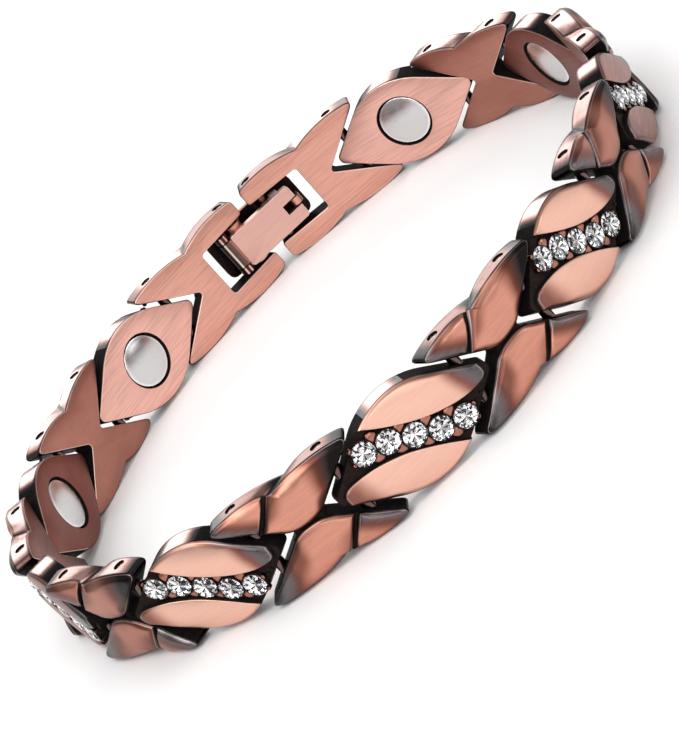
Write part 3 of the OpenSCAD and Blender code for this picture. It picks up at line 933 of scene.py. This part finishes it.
def claspOutline(waist):
    k = claspShape
    waistX = k["middle"] + waist
    right = notchQuarter(k["apex"], waistX, k["middle"], k["reach"])[:-1]
    x = np.linspace(waistX, k["end"] + k["round"], 33)
    drop = bowDrop(x, k["middle"] - crossShape["crestX"], waistX, -1)
    edge = np.stack([x, crossShape["band"] / 2 - drop], 1)
    h, r = k["slotHalf"], k["slotRound"]
    corner = arcPath(k["end"] + k["round"], edge[-1, 1] - k["round"], k["round"], 92, 180, 7)
    down = linePath(corner[-1], (k["end"], h + r), 8)
    lip = arcPath(k["end"] + r, h + r, r, 180, 270, 5)
    slot = linePath(lip[-1], (k["slotEnd"] - r, h), 24)
    inner = arcPath(k["slotEnd"] - r, h - r, r, 90, 0, 5)
    back = linePath(inner[-1], (k["slotEnd"], 0), 12)
    upper = np.concatenate([right, joinPaths(edge, corner, down, lip, slot, inner), back])
    return np.concatenate([upper, (upper * [1, -1])[::-1][1:-1]])


def ridgeHeight(p):
    # a straight ridge along each arm
    return 0.95 + 0.6 * np.exp(-((p[:, 1] - claspShape["ridge"]) / 1.3) ** 2)


def claspPatina(p):
    # patina and painted shade: dark towards the arms' tips and beside the middle line
    return 0.8 * softStep(5.2, 7.1, p[:, 0]) + 0.4 * softStep(1.2, 0.3, p[:, 1])


def claspWallPatina(p):
    # painted shade, as a cross link's at the notch: black in the slot and on the arms' ends
    slot = np.where(p[:, 0] < 0.3, 1 - softStep(0.1, 0.4, np.abs(p[:, 1]) - claspShape["slotHalf"]), 0)
    notch = crossWallPatina(np.maximum(p, [0, -9]), claspShape["apex"])
    return np.maximum.reduce([notch, slot, softStep(-5.0, -5.4, p[:, 0])])


def claspTemplate():
    k = claspShape
    waist = crossShape["waistOut"]
    outline = claspOutline(waist)
    n = len(outline)
    wall = runs(outline[:, 1] > k["barFrom"])[0]
    centreLine = linePath(outline[wall[-1]], outline[wall[0]], 14)[1:-1]
    path = np.concatenate([outline[wall], centreLine])
    onWall = np.arange(len(path)) < len(wall)
    roll = [np.full(len(path), v) for v in k["barEdge"]]
    bar, height = raisedLeaf(path, onWall, k["barCentre"], ridgeHeight, *roll, claspPatina)
    rim = np.full(n, linkShape["floor"])
    rim[wall] = rim[(n - wall) % n] = height[onWall]
    plate = linkPlate(claspOutline, 0, waist, rim, k["pitch"], claspWallPatina)
    other = {**bar, "points": bar["points"] * [1, 1, -1], "faces": [f[::-1] for f in bar["faces"]]}
    return together([plate, bar, other])


claspMesh = newTemplate("claspLink", claspTemplate(), crossMaterials)
for key, place in (("first", chordPlace(pins[0], pins[1])), ("last", chordPlace(pins[-2], pins[-1], -1))):
    placeCopy("claspLink_" + key, claspMesh, place, "bracelet", "cross_copper", "clasp_link_" + key)
print("clasp links: 2 of", len(claspMesh.polygons), "faces")


# Magnets, crystals and pins

def magnetTemplate():
    # a disc with a rounded edge and a slightly domed face
    k = magnetShape
    flat = k["radius"] - k["round"]
    drop = lambda r: np.sqrt(k["dome"] ** 2 - r ** 2)
    domed = lambda r: k["edge"] + drop(r) - drop(k["radius"])
    a = np.radians(np.linspace(0, 90, 7))
    edge = [(flat + k["round"] * np.cos(t), domed(flat) - k["round"] * (1 - np.sin(t))) for t in a]
    face = [(r, domed(r)) for r in np.linspace(flat, 0.15, 8)[1:]]
    profile = [(k["radius"], -k["floor"] + 0.05)] + edge + face
    s = lathe(profile[::-1], 72, start="fan")
    radius = np.hypot(s["points"][:, 0], s["points"][:, 2])
    s["edge"] = -softStep(flat - 0.03, flat + 0.02, radius)    # painted highlight: the rounded edge is bright
    return s


def crystalTemplate():
    # a brilliant cut: table, star, kite and girdle facets above; three rows of facets below, some dark as
    # painted dark reflections
    k = stoneShape

    def ring(r, count, turn, y):
        a = turn + np.arange(count) * 2 * np.pi / count
        return np.stack([r * np.cos(a), np.broadcast_to(y, count), r * np.sin(a)], 1)

    step = np.pi / 8
    g, c, d = k["girdle"], k["crown"], k["pavilion"]
    # points from 0 table, 8 kites, 16 and 32 girdle, 48 back, 64 its middle
    table = ring(k["table"], 8, 0, -g - c)
    kite = ring(0.5 * (k["table"] + k["radius"]) + 0.03, 8, step, -g - c * 0.56)
    upper = ring(k["radius"], 16, 0, -g - 0.03)
    lower = ring(k["radius"], 16, 0, -g + 0.01)
    star = ring(k["radius"] * 0.52, 16, step / 2, -g + d * np.tile([0.42, 0.62], 8))
    points = np.concatenate([table, kite, upper, lower, star, [[0, -g + d, 0]]])
    i, a = np.arange(8), np.arange(16)
    b = (a + 1) % 16
    m, u = 8 + i, 16 + 2 * i
    above = [[i, m, (i + 1) % 8], [i, 8 + (i - 1) % 8, u, m], [m, u, u + 1]]
    above.append([m, u + 1, 16 + (2 * i + 2) % 16])
    below = [[48 + a, 32 + b, 32 + a], [48 + a, 48 + b, 32 + b], [64 + 0 * a, 48 + b, 48 + a]]
    rows = above + [[16 + a, 32 + a, 32 + b, 16 + b]] + below
    faces = [list(range(8))] + [face for row in rows for face in np.stack(row, 1).tolist()]
    finish = np.zeros(len(faces), int)
    finish[-48:] = 1
    finish[np.array(k["dark"]) - 48] = 2
    plain = np.zeros(len(points))
    return {"points": points, "faces": faces, "finish": finish, "edge": plain, "patina": plain}


def crystalRow():
    gem = crystalTemplate()
    row = []
    for (x, z), a in zip(stoneShape["places"], np.radians(stoneShape["turns"])):
        turn = np.array([[np.cos(a), 0, np.sin(a)], [0, 1, 0], [-np.sin(a), 0, np.cos(a)]])
        row.append({**gem, "points": gem["points"] @ turn + [x, 0, z]})
    return together(row)


def pinTemplate(radius, half, chamfer=0.08):
    # an upright pin with turned-down ends, bright with a painted highlight
    low = [(radius - chamfer, half), (radius, half - chamfer)]
    rings = [uprightRing(0, r, -z) for r, z in low] + [uprightRing(0, r, z) for r, z in low[::-1]]
    return shell(rings, edge=[-0.62, 0, 0, -0.62])


magnetMesh = newTemplate("magnet", magnetTemplate(), [magnetSilver], 50)
crystalMesh = newTemplate("crystals", crystalRow(), [crystalGlass, crystalBack, crystalDark], 1)
pinMesh = newTemplate("pin", pinTemplate(0.45, 4.04), [pinCopper])
claspPinMesh = newTemplate("claspPin", pinTemplate(0.45, 3.94), [pinCopper])
hingeMesh = newTemplate("hingePin", pinTemplate(0.3, 2.0), [pinCopper])
for k in range(1, leafCount + 1):
    place = chordPlace(pins[2 * k - 1], pins[2 * k])
    placeCopy("magnet_disc_%d" % k, magnetMesh, place, "bracelet", "magnet", "magnet_%d" % k)
    placeCopy("crystals_%d" % k, crystalMesh, place, "bracelet", "crystal", "stones_%d" % k)
for name in pinNames:
    mesh = claspPinMesh if name.startswith("clasp") else pinMesh
    placeCopy("turned_" + name, mesh, (np.eye(3), boxMiddle(name)), "bracelet", "pin", name)
place = (np.eye(3), boxMiddle("clasp_hinge_pin"))
placeCopy("turned_hinge_pin", hingeMesh, place, "bracelet", "pin", "clasp_hinge_pin")
print("magnets, crystals and pins done")


# Clasp

claspLook = {
    "bevel": 0.09, "sharp": 35,
    "lidDark": (0.9, 0.3), "baseDark": (0.6, 0.1),    # depths between which each turns dark
    # painted shade: the barrel is dark about its bright lines
    "barrelX": (2.7, 2.85), "barrelDepth": (0.2, 0.4), "barrelDark": 0.9,
    "hingeLines": (3.05, 3.5), "lineWidth": 0.09,    # painted highlights: bright lines along the barrel
    "outsideDepth": -0.9, "outsideDark": 0.1,    # the side away from the wrist is copper again
}


def softened(name, node, body, materials, dark):
    # a merged copy of a CAD node with its edges rounded
    k = claspLook
    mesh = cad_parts[node].data.copy()
    mesh.name = name
    work = bmesh.new()
    work.from_mesh(mesh)
    bmesh.ops.remove_doubles(work, verts=work.verts, dist=1e-6)
    bmesh.ops.dissolve_limit(work, angle_limit=np.radians(1), verts=work.verts, edges=work.edges)
    work.to_mesh(mesh)
    work.free()
    turn, origin = chordPlace(pins[-1], pins[0])
    local = ((pointsOf(mesh) - origin) / mm) @ turn.T
    x, depth = local[:, 0], local[:, 1]
    bright = sum(np.exp(-((x - line) / k["lineWidth"]) ** 2) for line in k["hingeLines"])
    barrel = softStep(*k["barrelX"], x) * softStep(*k["barrelDepth"], depth)
    patina = np.maximum(softStep(*dark, depth) * (1 - barrel), barrel * (k["barrelDark"] - bright))
    for p in mesh.polygons:
        if (turn @ np.array(p.normal))[1] < -0.5 and depth[p.vertices[0]] < k["outsideDepth"]:
            patina[list(p.vertices)] = k["outsideDark"]
    setAttributes(mesh, inLink=local, edge=-bright * barrel, patina=patina)
    mesh.materials.clear()
    for m in materials:
        mesh.materials.append(m)
    mesh.shade_smooth()
    mesh.set_sharp_from_angle(angle=np.radians(k["sharp"]))
    obj = newObject(name, mesh)
    bevel = obj.modifiers.new("edges", "BEVEL")
    bevel.width = k["bevel"] * mm
    bevel.segments = 2
    bevel.limit_method = "ANGLE"
    bevel.angle_limit = np.radians(k["sharp"])
    bevel.material = len(materials) - 1
    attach(obj, body)
    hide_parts(node)


softened("claspLid", "clasp_lid", "lid", [lidCopper, rimCopper], claspLook["lidDark"])
softened("claspBase", "clasp_base", "bracelet", [innerCopper, innerCopper], claspLook["baseDark"])
print("clasp done")


# Floor, light and camera

studio = {"floor": (0.95, 0.95, 0.95, 1), "floorHalf": 2, "world": (1.0, 1.0, 1.0, 1), "worldPower": 0.38}

corners = studio["floorHalf"] * np.array([(-1, -1, 0), (1, -1, 0), (1, 1, 0), (-1, 1, 0)])
floor = newObject("studioFloor", newMesh("studioFloor", corners, [(0, 1, 2, 3)]))
floor.data.materials.append(newMaterial("floorPaint", Base_Color=studio["floor"], Roughness=0.6))

world = bpy.data.worlds.new("studioWorld")
world.use_nodes = True
bpy.context.scene.world = world
sky = world.node_tree.nodes["Background"]
sky.inputs["Color"].default_value = studio["world"]
sky.inputs["Strength"].default_value = studio["worldPower"]


def softBox(name, place, size, watts):
    # turned to the bracelet's middle
    lamp = bpy.data.lights.new(name, "AREA")
    lamp.shape = "RECTANGLE"
    lamp.size, lamp.size_y = size
    lamp.energy = watts
    obj = newObject(name, lamp)
    obj.location = place
    way = Vector((0, 0, 0)) - Vector(place)
    obj.rotation_euler = way.to_track_quat("-Z", "Y").to_euler()


softBox("keyBox", (-0.25, -0.2, 0.45), (0.3, 0.3), 0.9)
softBox("topBox", (0.0, 0.05, 0.7), (0.6, 0.6), 1.9)
softBox("backBox", (0.0, 0.55, 0.25), (0.6, 0.3), 1.15)
softBox("sideBox", (0.45, -0.2, 0.2), (0.2, 0.3), 0.5)
softBox("frontBox", (0.0, -0.7, 0.35), (0.9, 0.5), 2.3)

bpy.context.scene.view_settings.view_transform = "Standard"

cameraShape = {
    "place": (9.1237, -283.2794, 102.8090),
    "right": (0.749965, -0.198583, -0.630966),
    "up": (0.660413, 0.278879, 0.697195),
    "focalPixels": 3755.36, "imageHeight": 749, "sensor": 36.0,
    "near": 0.01, "far": 10,
}
right, up = Vector(cameraShape["right"]).normalized(), Vector(cameraShape["up"]).normalized()
turn = Matrix((right, up, right.cross(up))).transposed().to_4x4()
cameraData = bpy.data.cameras.new("photoCamera")
cameraData.sensor_width = cameraShape["sensor"]
cameraData.lens = cameraShape["focalPixels"] / cameraShape["imageHeight"] * cameraData.sensor_width
cameraData.clip_start = cameraShape["near"]
cameraData.clip_end = cameraShape["far"]
camera = newObject("photoCamera", cameraData)
camera.matrix_world = Matrix.Translation(Vector(cameraShape["place"]) * mm) @ turn
bpy.context.scene.camera = camera

print("scene ready")
